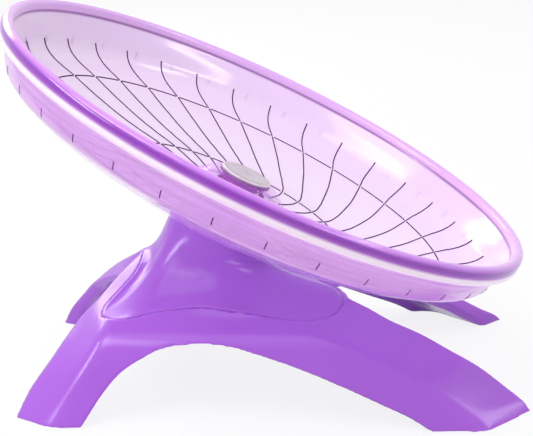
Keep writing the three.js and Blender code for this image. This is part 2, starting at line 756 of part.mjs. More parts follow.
// Each meridian of the flare falls straight from the column, then swings out to the skirt
function bellGeometry(inset, drop) {
  const skirt = skirtLoop(-inset, -inset);
  const topRadius = columnRadius - inset;
  const topDepth = columnTopDepth + inset;
  const edge = Math.max(columnEdgeRadius - inset, fitGap);
  const meridians = skirt.map((end) => {
    const angle = Math.atan2(end.y, end.x - neckScrewCentre);
    const start = pointOnSaucer(topRadius, angle, topDepth + edge);
    const straight = start.clone().addScaledVector(saucerAxis, -columnDropShare * (start.z - end.z));
    const swing = end.clone().lerp(start, flareReachShare).setZ(end.z + flareRise);
    const flare = new THREE.CubicBezierCurve3(start, straight, swing, end).getPoints(bellRows);
    const topEdge = pointOnSaucer(topRadius - edge, angle, topDepth);
    const roundEdge = pointOnSaucer(topRadius - edge * 0.3, angle, topDepth + edge * 0.3);
    const below = end.clone().setZ(end.z - drop);
    return [topEdge, roundEdge, ...flare, below];
  });
  const rows = meridians[0].map((_, i) => meridians.map((meridian) => meridian[i]));
  return skinned(rows, false, [pointOnSaucer(0, 0, topDepth), deckMiddle(-drop - inset * 2)]);
}

function neckGeometry() {
  const bell = facetedSolid(bellGeometry(0, skirtRim));
  const onAxis = (geometry) => geometry.rotateY(tilt).translate(0, 0, rimHeight);
  const plateInside = -columnTopDepth - neckWall / 2;
  let neck = bell.subtract(facetedSolid(bellGeometry(neckWall, skirtRim)));
  neck = neck.add(facetedSolid(onAxis(cylinder(bossRadius, plateInside, bossTop))));
  neck = neck.add(facetedSolid(onAxis(cylinder(socketRadius, spindleBottom - socketFloor, plateInside, smallFacets))));
  for (const { x, y } of neckScrewPlaces) {
    const post = facetedSolid(cylinder(screwPostRadius, 0, rimHeight, smallFacets).translate(x, y, 0));
    neck = neck.add(post.intersect(bell));
  }
  const spindleBore = cylinder(spindleDiameter / 2 + fitGap, spindleBottom - fitGap, 0, smallFacets);
  const screwBores = neckScrewPlaces.map(({ x, y }) => (
    cylinder(neckScrewShank / 2 + fitGap, 0, padBottomHeight + neckScrewReach, smallFacets).translate(x, y, 0)));
  return solidGeometry(cutAway(neck, [onAxis(spindleBore), ...screwBores]));
}

// Materials
const colours = {
  clearPurple: 0xd9a6f0,
  clearGrey: 0xcfc8cf,
  violet: 0xb06ce8,
  magenta: 0xa238b8,
  steel: 0xc9ccd2,
  brass: 0xc9a25a,
};

function plastic(colour, roughness = 0.25) {
  return new THREE.MeshStandardMaterial({ color: colour, roughness, metalness: 0 });
}

function clearPlastic(colour, opacity) {
  return new THREE.MeshStandardMaterial({ color: colour, roughness: 0.08, metalness: 0, transparent: true, opacity });
}

function steel(roughness = 0.25) {
  return new THREE.MeshStandardMaterial({ color: colours.steel, roughness, metalness: 1 });
}

function named(name, geometry, material) {
  const mesh = new THREE.Mesh(geometry, material);
  mesh.name = name;
  return mesh;
}

// Everything on the tilted axis shares one group, with its origin at the rim's centre
const onTiltedAxis = new THREE.Group();
onTiltedAxis.position.set(0, 0, rimHeight);
onTiltedAxis.rotation.y = tilt;
onTiltedAxis.add(
  named('saucer_dish', saucerGeometry(), clearPlastic(colours.clearPurple, 0.45)),
  named('hub_cap', hubCapGeometry(), clearPlastic(colours.clearGrey, 0.6)),
  named('bearing_outer_race', outerRaceGeometry(), steel(0.18)),
  named('bearing_inner_race', innerRaceGeometry(), steel(0.18)),
  named('bearing_cage', cageGeometry(), steel(0.4)),
  named('bearing_shield_upper', shieldGeometry(bearingTop - shieldThickness), steel(0.3)),
  named('bearing_shield_lower', shieldGeometry(bearingBottom), steel(0.3)),
  named('spindle', spindleGeometry(), steel(0.22)),
  named('retaining_disc', retainingDiscGeometry(), plastic(colours.magenta)),
  named('retaining_screw', retainingScrewGeometry(), steel(0.35)),
);
for (let number = 0; number < ballCount; number += 1) {
  const ball = named(`bearing_ball_${number + 1}`, ballGeometry(), steel(0.08));
  ball.position.copy(ballPlace(number));
  onTiltedAxis.add(ball);
}

const wheel = new THREE.Group();
wheel.add(
  onTiltedAxis,
  named('leg_frame', legFrameGeometry(), plastic(colours.violet, 0.2)),
  named('neck_column', neckGeometry(), plastic(colours.violet, 0.2)),
);
neckScrewPlaces.forEach(({ x, y }, i) => {
  const screw = named(`neck_screw_${i + 1}`, neckScrewGeometry(), steel(0.35));
  screw.position.set(x, y, padBottomHeight - fitGap);
  wheel.add(screw);
});

// The widest points of the whole along X are the two ends of the saucer's lip
const extent = new THREE.Box3().setFromObject(wheel, true);
wheel.position.x = -(extent.min.x + extent.max.x) / 2;

const part = new THREE.Group();
part.add(wheel);

export default part;
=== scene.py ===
"""Flying saucer wheel: a clear purple saucer spinning on a tilted column over four legs."""

import json
import math

import bmesh
import bpy
from mathutils import Matrix, Vector

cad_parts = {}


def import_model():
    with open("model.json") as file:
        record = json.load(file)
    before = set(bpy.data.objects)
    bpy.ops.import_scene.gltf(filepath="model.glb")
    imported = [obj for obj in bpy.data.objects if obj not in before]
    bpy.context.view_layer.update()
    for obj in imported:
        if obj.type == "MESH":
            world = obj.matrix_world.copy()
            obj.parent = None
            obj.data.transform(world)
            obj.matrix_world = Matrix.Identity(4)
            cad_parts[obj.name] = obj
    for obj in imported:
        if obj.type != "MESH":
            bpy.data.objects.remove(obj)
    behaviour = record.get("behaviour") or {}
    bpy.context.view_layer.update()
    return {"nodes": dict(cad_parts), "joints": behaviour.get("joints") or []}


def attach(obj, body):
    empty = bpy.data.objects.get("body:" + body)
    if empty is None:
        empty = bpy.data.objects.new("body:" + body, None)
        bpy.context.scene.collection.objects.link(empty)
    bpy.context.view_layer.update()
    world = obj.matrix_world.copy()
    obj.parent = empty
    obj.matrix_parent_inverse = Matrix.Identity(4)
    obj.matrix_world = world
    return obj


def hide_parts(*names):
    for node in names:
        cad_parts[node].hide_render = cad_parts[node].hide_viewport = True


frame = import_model()

MM = 0.001
spin = next(joint for joint in frame["joints"] if joint["name"] == "saucer_spin")
rim_centre = Vector(spin["pos_m"])
spin_axis = Vector(spin["axis"]).normalized()
tilt = math.atan2(spin_axis.x, spin_axis.z)
on_saucer = Matrix.Translation(rim_centre) @ Matrix.Rotation(tilt, 4, "Y") @ Matrix.Scale(MM, 4)
on_stand = Matrix.Translation((rim_centre.x, 0, 0)) @ Matrix.Scale(MM, 4)

# Saucer, millimetres from the middle of the rim: distance out from the axis, then height
HUB_TOP = -17.1
CAP_SEAT = -18.1
BORE = 7.3
CAP_SEAT_RADIUS = 8.9
HUB_CONE = [
    (9.8, -17.15), (11, -17.9), (12, -18.6), (13, -19.5), (14, -20.4), (15, -21.3), (16, -22.2),
    (17.5, -23.3), (20, -24.7), (22.5, -25.7), (24.5, -26.2),
]
BOWL_INSIDE = [
    (30, -26.3), (34, -26.1), (38.4, -25.75), (42, -25.35), (46, -24.75), (50, -23.9), (54, -22.85),
    (58, -21.6), (62, -20.2), (66, -18.55), (69.7, -16.95), (73.5, -15.6), (76.5, -14.5), (79, -13.2),
    (81, -11.6), (82.4, -9.8), (83.2, -8), (84, -6), (84.8, -4.2), (85.7, -2.6), (86.25, -1.6),
]
LIP = [
    (86.4, -0.8), (86.4, 0.2), (86.55, 0.95), (87.05, 1.5), (87.75, 1.8), (88.5, 1.82), (89.2, 1.55),
    (89.7, 1.05), (89.95, 0.35), (89.97, -0.6), (89.97, -2.2), (89.95, -3.0), (89.6, -3.65), (88.9, -4.1),
    (87.9, -4.4), (87.1, -4.75),
]
BOWL_OUTSIDE = [
    (86.55, -5.4), (86, -7), (85.3, -9), (84.4, -11.4), (83.4, -12.7), (81.9, -13.9), (79.4, -15.1),
    (75.6, -17), (70, -19), (64, -21), (58.2, -23), (52.6, -25), (48, -26.6), (44, -27.6), (40, -28.1),
    (34, -28.3), (28, -28.3), (24.6, -28.25),
]
HUB_UNDERSIDE = [(21.5, -27.3), (18, -25.6), (15.6, -24), (13.6, -22.2), (12, -21), (10.3, -20.5)]
SLEEVE = [(10.3, -20.9), (10.3, -21.3)]
POCKET = [(10.3, -27.6), (8.3, -27.6), (8.3, -21.1), (7.3, -21.1)]
CAP_OUTLINE = [
    (0, -17.5), (6, -17.5), (6, -18.5), (7, -18.5), (7, -17.8), (8.6, -17.8), (8.6, -16.7), (8.45, -16.35),
    (8.1, -16.2), (7.5, -16.2), (4, -16.2), (0, -16.2),
]
DISC_OUTLINE = [
    (1.4, -21.1), (3.6, -21.1), (3.6, -20.7), (6.5, -20.7), (6.5, -19.1), (6.35, -18.88), (6.2, -18.8),
    (2.8, -18.8), (1.4, -20.2),
]
BOSS_OUTLINE = [(2.5, -36), (8.7, -36), (8.7, -28.9), (8.55, -28.5), (8.1, -28.3), (2.5, -28.3)]
CURVE_STEPS = 4

# Bands of the saucer's tint along its outline, the same all the way round: where each starts, its
# colour, how much it covers and how streaky it is. A white band on the lip's outer face is a painted
# highlight, and a dark line in the crease where the bowl meets the lip is painted shade.
SAUCER_TINT_AND_PAINTED_LIGHT = [
    ((7.3, -18.1), (190, 90, 220), 0.3, 0),
    ((12, -18.6), (208, 116, 236), 0.4, 0),
    ((20, -24.7), (218, 148, 242), 0.75, 0),
    ((24.6, -26.1), (240, 210, 249), 0.68, 0.1),
    ((30, -26.3), (242, 214, 250), 0.7, 0.1),
    ((82.4, -9.8), (238, 202, 249), 0.76, 0.1),
    ((86.15, -1.8), (236, 196, 248), 0.78, 0.1),
    # painted shade: a dark line in the crease where the bowl meets the lip
    ((86.25, -1.6), (84, 22, 100), 1, 0),
    ((86.4, -0.95), (170, 100, 190), 1, 0),
    ((86.4, -0.55), (236, 188, 248), 0.9, 0),
    ((86.55, 0.95), (230, 172, 248), 0.9, 0),
    ((89.2, 1.55), (216, 146, 244), 0.92, 0),
    ((89.7, 1.05), (196, 114, 234), 0.95, 0.2),
    ((89.95, 0.35), (142, 52, 186), 0.97, 0.4),
    ((89.97, -0.95), (138, 48, 182), 0.97, 0.4),
    ((89.97, -1.55), (184, 96, 216), 0.95, 0.4),
    # painted highlight: the white band on the lower half of the lip's outer face stands for a reflection
    ((89.97, -1.7), (255, 240, 255), 0.95, 0),
    ((89.6, -3.65), (253, 232, 254), 0.95, 0),
    ((88.9, -4.1), (234, 188, 249), 0.9, 0.2),
    ((86.55, -5.4), (224, 166, 243), 0.92, 1),
    ((85.3, -9), (218, 158, 238), 0.88, 1),
    ((83.4, -12.7), (218, 158, 238), 0.88, 1),
    ((81.9, -13.9), (238, 190, 251), 0.88, 0.5),
    ((79.4, -15.1), (228, 178, 246), 0.6, 0.3),
    ((24.6, -28.25), (222, 170, 242), 0.5, 0.2),
    ((10.3, -20.9), (210, 140, 234), 0.5, 0),
    ((10.3, -21.3), (168, 26, 202), 1, 0),
    ((10.3, -27.6), (168, 26, 202), 1, 0),
]
# Bands of the hub cap: a dark line of painted shade at its edge, a pale bevel with a painted highlight and a
# smoky middle
CAP_TINT_AND_PAINTED_LIGHT = [
    ((0, -17.5), (196, 186, 196)),
    # painted shade: a dark line standing for a small groove at the cap's edge
    ((8.6, -17.8), (124, 84, 134)),
    ((8.6, -16.7), (168, 140, 172)),
    # painted highlight: a pale line along the cap's bevel
    ((8.45, -16.35), (240, 232, 240)),
    ((8.1, -16.2), (214, 202, 214)),
    ((7.5, -16.2), (186, 178, 184)),
    ((4, -16.2), (204, 190, 202)),
    ((0, -16.2), (198, 186, 197)),
]
CAP_COVER = 0.93
SHADOW_COVER = 0.5      # share of a clear wall's cover that its shadow keeps

# Swirl ribs: how far a rib has turned, in degrees, at each radius, and the height and lean of its foot
RIB_COUNT = 34
RIB_TURN = [
    (24.5, -22), (27, -21.9), (30, -21.5), (34, -20.8), (38.4, -19), (40.5, -17.9), (42.6, -16.5),
    (46, -13.8), (48, -12.5), (50, -10.95), (52.5, -9.3), (56, -7.2), (59.4, -5.4), (62, -3.95),
    (66, -1.8), (69.7, 0), (74, 2), (77.3, 3.05), (80, 3.7), (82.6, 4.1),
]
RIB_START, RIB_END = 24.6, 82.6
RIB_HALF_WIDTH = 0.23
RIB_STEP = 0.8
RIB_FOOT = [(-9.4, 0), (-10.1, 0.04), (-10.7, 0.08), (-11.3, 0.14), (-11.8, 0.2)]
FOOT_SUNK = 0.13        # depth of a foot's centre line under the wall's face
FIRST_CROSSING = 0.0967
RING_RADII = (38.43, 69.74)
RIB_GAP, RING_GAP = 0.22, 0.75      # half the break in a rib at a ring, and in a ring at a rib

# Stand, millimetres from the point under the middle of the rim
SHELL_TOP = 41.2
LEFT_REACH = 78.6
RIGHT_REACH = 79.6
HALF_DEPTH = 56
SHELL_LEVELS = [
    (0, (-1, -1, -0.847, 0.814, 1.018, 1.018), (0, 0.759, 0.907, 1, 0.7, 0)),
    (0.06, (-0.986, -0.984, -0.829, 0.771, 0.99, 0.99), (0, 0.73, 0.893, 0.981, 0.667, 0)),
    (0.146, (-0.965, -0.96, -0.804, 0.71, 0.923, 0.925), (0, 0.688, 0.873, 0.954, 0.6, 0)),
    (0.267, (-0.921, -0.912, -0.766, 0.619, 0.828, 0.832), (0, 0.643, 0.85, 0.911, 0.54, 0)),
    (0.376, (-0.877, -0.865, -0.73, 0.528, 0.712, 0.719), (0, 0.589, 0.83, 0.875, 0.473, 0)),
    (0.473, (-0.838, -0.827, -0.697, 0.433, 0.6, 0.61), (0, 0.505, 0.805, 0.835, 0.429, 0)),
    (0.607, (-0.7, -0.765, -0.655, 0.232, 0.415, 0.43), (0, 0.375, 0.745, 0.75, 0.31, 0)),
    (0.711, (-0.65, -0.706, -0.617, 0, 0.235, 0.24), (0, 0.321, 0.616, 0.616, 0.25, 0)),
    (0.825, (-0.598, -0.6425, -0.553, -0.229, -0.1, -0.075), (0, 0.196, 0.37, 0.56, 0.2, 0)),
    (0.942, (-0.547, -0.566, -0.541, -0.445, -0.363, -0.337), (0, 0.054, 0.15, 0.25, 0.125, 0)),
    (0.981, (-0.534, -0.538, -0.528, -0.503, -0.48, -0.47), (0, 0.025, 0.08, 0.12, 0.06, 0)),
    (1, (-0.524, -0.523, -0.519, -0.513, -0.509, -0.505), (0, 0.012, 0.04, 0.05, 0.03, 0)),
]
CORNER_TRIM = (0, 1.2, 4, 4, 0.9, 0)
WALL_SHARES = (0.48, 0.48, 0.7, 1, 1, 1)
EDGE_STEPS = (10, 4, 44, 8, 10)
FRONT_ARCH = [
    (-0.722, 0), (-0.687, 0.098), (-0.646, 0.211), (-0.57, 0.376), (-0.49, 0.473), (-0.411, 0.539),
    (-0.28, 0.57), (-0.16, 0.556), (-0.028, 0.495), (0.122, 0.405), (0.271, 0.294), (0.418, 0.175),
    (0.529, 0.083), (0.603, 0),
]
SIDE_ARCH = [
    (0, (-1, 0.75), (-0.943, 0.71), (0.921, 0.611), (0.999, 0.716)),
    (0.06, (-0.986, 0.721), (-0.927, 0.681), (0.892, 0.577), (0.972, 0.683)),
    (0.146, (-0.965, 0.679), (-0.905, 0.64), (0.848, 0.528), (0.908, 0.627)),
    (0.267, (-0.92, 0.615), (-0.862, 0.57), (0.76, 0.464), (0.816, 0.571)),
    (0.376, (-0.873, 0.548), (-0.822, 0.5), (0.65, 0.404), (0.7, 0.51)),
    (0.473, (-0.833, 0.482), (-0.783, 0.43), (0.538, 0.348), (0.596, 0.455)),
    (0.552, (-0.786, 0.375), (-0.74, 0.33), (0.4, 0.295), (0.484, 0.393)),
    (0.607, (-0.747, 0.293), (-0.705, 0.25), (0.339, 0.238), (0.414, 0.327)),
    (0.672, (-0.698, 0.188), (-0.66, 0.15), (0.22, 0.134), (0.276, 0.196)),
    (0.716, (-0.662, 0.104), (-0.63, 0.075), (0.18, 0.045), (0.205, 0.071)),
    (0.745, (-0.64, 0.01), (-0.62, 0.008), (0.13, 0.008), (0.14, 0.01)),
]
SKIRT = [
    (-0.528, 0, 0.991), (-0.532, 0.15, 0.943), (-0.55, 0.228, 0.889), (-0.605, 0.334, 0.8),
    (-0.657, 0.459, 0.719), (-0.656, 0.532, 0.695), (-0.611, 0.602, 0.69), (-0.54, 0.61, 0.713),
    (-0.465, 0.577, 0.736), (-0.366, 0.557, 0.756), (-0.267, 0.557, 0.773), (-0.169, 0.582, 0.762),
    (-0.072, 0.594, 0.737), (0.026, 0.607, 0.701), (0.121, 0.605, 0.667), (0.197, 0.55, 0.654),
    (0.256, 0.445, 0.654), (0.284, 0.293, 0.679), (0.265, 0.158, 0.698), (0.237, 0.09, 0.71),
    (0.183, 0, 0.725),
]
ROOF = 3
LEG_WALL = 4.6
DECK = 3
DECK_MIDDLE = 30.5
NECK_MIDDLE = -18
SKIRT_RIM = 1.2
SKIRT_LAP = 0.4         # how far the neck's skirt laps over the frame, to close the seam
SKIRT_DROP = 0.2
SEAT_PLAY = 0.12
RIM_ROUND = 0.18
GAP = 0.3
SEAT = SKIRT_RIM + GAP
COLUMN_RADIUS = 17.2
COLUMN_TOP = -35
COLUMN_EDGE = 1.6
NECK_WALL = 2.4
NECK_SCREWS = [(NECK_MIDDLE + sx * 9, sy * 9) for sx in (-1, 1) for sy in (-1, 1)]
PAD_BOTTOM = 24.8
PAD_RADIUS, SCREW_HOLE, CORE_HOLE = 4.2, 1.5, 5
PAST_FLOOR, PAST_DEPTH, PAST_SIDES, PAST_TOP = -3, 62, 92, 80      # cutters reach past what they cut
# The mould's rounding: grid size, smoothing passes and the share of the faces kept
MOULD = (0.45, 14, 0.45)


# Curves

def flowing(points, steps):
    """Points on a centripetal Catmull-Rom curve through open points of any dimension."""
    points = [Vector(p) for p in points]
    ends = [2 * points[0] - points[1], *points, 2 * points[-1] - points[-2]]
    out = []
    for i in range(1, len(ends) - 2):
        out += [spline_point(ends[i - 1:i + 3], k / steps) for k in range(steps)]
    return out + [points[-1]]


def flowing_loop(points, steps):
    points = [Vector(p) for p in points]
    n = len(points)
    out = []
    for i in range(n):
        four = [points[(i + k) % n] for k in (-1, 0, 1, 2)]
        out += [spline_point(four, k / steps) for k in range(steps)]
    return out


def spline_point(four, way):
    knots = [0]
    for a, b in zip(four, four[1:]):
        knots.append(knots[-1] + max((b - a).length, 1e-6) ** 0.5)
    t = knots[1] + way * (knots[2] - knots[1])
    layer = list(four)
    for size in (1, 2, 3):
        layer = [
            layer[i] * ((knots[i + size] - t) / (knots[i + size] - knots[i]))
            + layer[i + 1] * ((t - knots[i]) / (knots[i + size] - knots[i]))
            if size == 1 else
            blend_span(layer[i], layer[i + 1], knots, i, size, t)
            for i in range(len(layer) - 1)
        ]
    return layer[0]


def blend_span(a, b, knots, i, size, t):
    low, high = (knots[i], knots[i + size]) if size == 2 else (knots[1], knots[2])
    return a * ((high - t) / (high - low)) + b * ((t - low) / (high - low))


def bezier(a, b, c, d, t):
    u = 1 - t
    return a * u ** 3 + b * 3 * u * u * t + c * 3 * u * t * t + d * t ** 3


# Meshes

def mesh_piece(name, verts, faces, place=None, smooth=True, laps=None):
    mesh = bpy.data.meshes.new(name)
    mesh.from_pydata([tuple(v) for v in verts], [], faces)
    if laps is not None:
        stored = mesh.attributes.new("lap", "FLOAT_VECTOR", "POINT")
        stored.data.foreach_set("vector", [value for lap in laps for value in lap])
    mesh.validate()
    if place is not None:
        mesh.transform(place)
    shape = bmesh.new()
    shape.from_mesh(mesh)
    bmesh.ops.remove_doubles(shape, verts=shape.verts, dist=1e-7)
    bmesh.ops.recalc_face_normals(shape, faces=shape.faces)
    shape.to_mesh(mesh)
    shape.free()
    mesh.polygons.foreach_set("use_smooth", [smooth] * len(mesh.polygons))
    piece = bpy.data.objects.new(name, mesh)
    bpy.context.scene.collection.objects.link(piece)
    return piece


def way_round(outline):
    """The share of the closed outline's length that lies before each of its points."""
    lengths = [math.dist(a, b) for a, b in zip(outline, outline[1:] + outline[:1])]
    return [sum(lengths[:i]) / sum(lengths) for i in range(len(outline))]


def turned(name, outline, facets):
    """A closed outline of (radius, height) turned about the axis. The lap attribute keeps the
    direction from the axis and the way round the outline."""
    verts, rows, laps = [], [], []
    for (radius, height), way in zip(outline, way_round(outline)):
        if radius < 1e-6:
            rows.append([len(verts)] * facets)
            verts.append((0, 0, height))
            laps.append((0, 0, way))
            continue
        rows.append(list(range(len(verts), len(verts) + facets)))
        for k in range(facets):
            angle = 2 * math.pi * k / facets
            verts.append((radius * math.cos(angle), radius * math.sin(angle), height))
            laps.append((math.cos(angle), math.sin(angle), way))
    faces = []
    for a, b in zip(rows, rows[1:] + rows[:1]):
        for k in range(facets):
            m = (k + 1) % facets
            face = list(dict.fromkeys((a[k], a[m], b[m], b[k])))
            if len(face) > 2:
                faces.append(face)
    return mesh_piece(name, verts, faces, on_saucer, laps=laps)


def skinned(name, rows, middles=(None, None)):
    """Quads between rows with equal numbers of points, and a fan at each end."""
    n = len(rows[0])
    verts = [p for row in rows for p in row]
    faces = []
    for r in range(len(rows) - 1):
        a, b = r * n, (r + 1) * n
        faces += [(a + k, a + (k + 1) % n, b + (k + 1) % n, b + k) for k in range(n)]
    for start, row, middle in ((0, rows[0], middles[0]), ((len(rows) - 1) * n, rows[-1], middles[1])):
        centre = middle if middle is not None else sum(row, Vector((0, 0, 0))) / n
        verts.append(centre)
        faces += [(len(verts) - 1, start + k, start + (k + 1) % n) for k in range(n)]
    return mesh_piece(name, verts, faces, on_stand)


def post(name, x, y, radius, low, high, facets=40):
    rows = [
        [Vector((x + radius * math.cos(a), y + radius * math.sin(a), z))
         for a in (2 * math.pi * k / facets for k in range(facets))]
        for z in (low, high)
    ]
    return skinned(name, rows)


def cut_or_join(target, others, operation):
    """Booleans with each of the others in turn, which are then removed."""
    for other in others:
        step = target.modifiers.new("boolean", "BOOLEAN")
        step.operation = operation
        step.solver = "MANIFOLD"
        step.object = other
        bake_modifiers(target)
        bpy.data.objects.remove(other)


def bake_modifiers(piece):
    depsgraph = bpy.context.evaluated_depsgraph_get()
    finished = bpy.data.meshes.new_from_object(piece.evaluated_get(depsgraph))
    piece.modifiers.clear()
    piece.data = finished


# Stand

def reach(share):
    return share * (LEFT_REACH if share < 0 else RIGHT_REACH)


def level_corners(height):
    share = min(max(height / SHELL_TOP, 0), 1)
    shares = [level[0] for level in SHELL_LEVELS]
    i = max(k for k, s in enumerate(shares[:-1]) if s <= share)
    way = (share - shares[i]) / (shares[i + 1] - shares[i])
    corners = []
    for c in range(6):
        xs = [reach(level[1][c]) for level in SHELL_LEVELS]
        ys = [level[2][c] * HALF_DEPTH for level in SHELL_LEVELS]
        corners.append(Vector((eased(shares, xs, i, way), -eased(shares, ys, i, way), 0)))
    return corners


def eased(knots, values, i, way):
    """Monotone cubic through the values."""
    span = knots[i + 1] - knots[i]

    def slope(k):
        if k == 0 or k == len(knots) - 1:
            j = min(k, len(knots) - 2)
            return (values[j + 1] - values[j]) / (knots[j + 1] - knots[j])
        before = (values[k] - values[k - 1]) / (knots[k] - knots[k - 1])
        after = (values[k + 1] - values[k]) / (knots[k + 1] - knots[k])
        return 0 if before * after <= 0 else 2 * before * after / (before + after)

    t = way
    return (
        values[i] * (2 * t ** 3 - 3 * t * t + 1) + slope(i) * span * (t ** 3 - 2 * t * t + t)
        + values[i + 1] * (3 * t * t - 2 * t ** 3) + slope(i + 1) * span * (t ** 3 - t * t)
    )


def plan_row(height, level_height, inset):
    corners = level_corners(level_height)
    middle_x = (corners[0].x + corners[-1].x) / 2
    for i, corner in enumerate(corners):
        wall = inset * WALL_SHARES[i]
        inward = 1 if middle_x >= corner.x else -1
        corner.x += inward * min(wall, abs(middle_x - corner.x) * 0.9)
        if 0 < i < 5:
            corner.y = min(corner.y + wall, corner.y * 0.1)
    half = [corners[0]]
    for i in range(1, 6):
        if i == 5:
            rounded = [corners[i]]
        else:
            to_before, to_after = corners[i - 1] - corners[i], corners[i + 1] - corners[i]
            start = corners[i] + to_before * min(0.45, CORNER_TRIM[i] / to_before.length)
            end = corners[i] + to_after * min(0.45, CORNER_TRIM[i] / to_after.length)
            rounded = [
                start * (1 - t) ** 2 + corners[i] * 2 * t * (1 - t) + end * t * t
                for t in (k / 7 for k in range(8))
            ]
        from_point = half[-1]
        half += [from_point.lerp(rounded[0], k / EDGE_STEPS[i - 1]) for k in range(1, EDGE_STEPS[i - 1])]
        half += rounded
    back = [Vector((p.x, -p.y, 0)) for p in reversed(half[1:-1])]
    return [Vector((p.x, p.y, height)) for p in half + back]


def tent(name, drop, inset, bottom):
    heights = [k * SHELL_TOP / 56 for k in range(57)]
    rows = [plan_row(bottom, drop + max(bottom, 0), inset)]
    rows += [plan_row(h - drop, h, inset) for h in heights if h - drop > bottom + 0.2]
    return skinned(name, rows)


def front_arch():
    curve = flowing([(reach(x), z * SHELL_TOP) for x, z in FRONT_ARCH], 10)
    outline = [*curve, (curve[-1].x, PAST_FLOOR), (curve[0].x, PAST_FLOOR)]
    ends = [[Vector((p[0], side * PAST_DEPTH, p[1])) for p in outline] for side in (-1, 1)]
    return skinned("front_arch", ends)


def side_arch_row(height):
    """The arch between the front and back legs at a height, with the slanted end faces of the legs."""
    shares = [level[0] for level in SIDE_ARCH]
    share = min(max(height / SHELL_TOP, 0), shares[-1])
    i = max(k for k, s in enumerate(shares[:-1]) if s <= share)
    way = (share - shares[i]) / (shares[i + 1] - shares[i])
    front = []
    for c in range(1, 5):
        xs = [reach(level[c][0]) for level in SIDE_ARCH]
        ys = [level[c][1] * HALF_DEPTH for level in SIDE_ARCH]
        front.append(Vector((eased(shares, xs, i, way), -eased(shares, ys, i, way), height)))
    left = front[0] + (front[0] - front[1]).normalized() * 12
    right = front[3] + (front[3] - front[2]).normalized() * 12
    front = [
        Vector((-PAST_SIDES, left.y, height)), left, *front, right, Vector((PAST_SIDES, right.y, height)),
    ]
    return front + [Vector((p.x, -p.y, height)) for p in reversed(front)]


def side_arch():
    top = SIDE_ARCH[-1][0] * SHELL_TOP
    rows = [side_arch_row(top * k / 40) for k in range(41)]
    return skinned("side_arch", [side_arch_row(PAST_FLOOR), *rows])


def skirt_loop(outward, rise):
    front = [Vector((reach(x), -y * HALF_DEPTH, z * SHELL_TOP)) for x, y, z in SKIRT]
    back = [Vector((p.x, -p.y, p.z)) for p in reversed(front[1:-1])]
    middle = Vector((NECK_MIDDLE, 0, 0))
    loop = []
    for p in flowing_loop(front + back, 6):
        away = Vector((p.x - middle.x, p.y, 0)).normalized()
        loop.append(p + away * outward + Vector((0, 0, rise)))
    return loop


def deck_middle(rise):
    return Vector((NECK_MIDDLE, 0, DECK_MIDDLE + rise))


def leg_frame():
    body = tent("leg_shell", 0, 0, 0)
    cut_or_join(body, [tent("leg_hollow", ROOF, LEG_WALL, -2), front_arch(), side_arch()], "DIFFERENCE")
    under = -SEAT - DECK
    deck_rows = [skirt_loop(DECK, under), skirt_loop(DECK, 0)]
    deck = skinned("deck", deck_rows, (deck_middle(under), deck_middle(0)))
    cut_or_join(deck, [tent("deck_bound", 0, 0, 0)], "INTERSECT")
    pads = [post("pad", x, y, PAD_RADIUS, PAD_BOTTOM, DECK_MIDDLE) for x, y in NECK_SCREWS]
    cut_or_join(body, [deck, *pads], "UNION")
    bottom = skirt_loop(SEAT_PLAY, -SEAT)
    top = [Vector((p.x, p.y, PAST_TOP)) for p in bottom]
    seat = skinned("seat", [bottom, top], (deck_middle(-SEAT), None))
    holes = [post("screw_hole", x, y, SCREW_HOLE, 0, 45) for x, y in NECK_SCREWS]
    cut_or_join(body, [seat, post("core_hole", NECK_MIDDLE, 0, CORE_HOLE, 0, 45), *holes], "DIFFERENCE")
    return body


def soften(piece, voxel, passes, kept):
    """Closes the surface on an even grid, rounds its edges as a mould does and thins its faces."""
    grid = piece.modifiers.new("grid", "REMESH")
    grid.mode = "VOXEL"
    grid.voxel_size = voxel * MM
    rounding = piece.modifiers.new("rounding", "SMOOTH")
    rounding.factor = 0.5
    rounding.iterations = passes
    thinning = piece.modifiers.new("thinning", "DECIMATE")
    thinning.ratio = kept
    bake_modifiers(piece)
    piece.data.polygons.foreach_set("use_smooth", [True] * len(piece.data.polygons))
    return piece


def on_column(radius, angle, height):
    across = Vector((math.cos(tilt), 0, -math.sin(tilt)))
    axis = Vector((math.sin(tilt), 0, math.cos(tilt)))
    centre = Vector((0, 0, rim_centre.z / MM))
    sideways = Vector((0, radius * math.sin(angle), 0))
    return centre + axis * height + across * radius * math.cos(angle) + sideways


def bell_rows(inset, steps):
    skirt = skirt_loop(SKIRT_LAP - inset, -SKIRT_DROP - inset)
    radius, top = COLUMN_RADIUS - inset, COLUMN_TOP - inset
    edge = max(COLUMN_EDGE - inset, GAP)
    axis = Vector((math.sin(tilt), 0, math.cos(tilt)))
    meridians = []
    for end in skirt:
        angle = math.atan2(end.y, end.x - NECK_MIDDLE)
        start = on_column(radius, angle, top - edge)
        straight = start - axis * 0.5 * (start.z - end.z)
        swing = end.lerp(start, 0.5)
        swing.z = end.z + 0.6 + 0.2 * math.dist(swing.xy, end.xy)
        corner = [
            on_column(radius - edge + edge * math.sin(a), angle, top - edge + edge * math.cos(a))
            for a in (k * math.pi / 12 for k in range(6))
        ]
        meridians.append(corner + [bezier(start, straight, swing, end, k / steps) for k in range(steps + 1)])
    return [list(row) for row in zip(*meridians)]


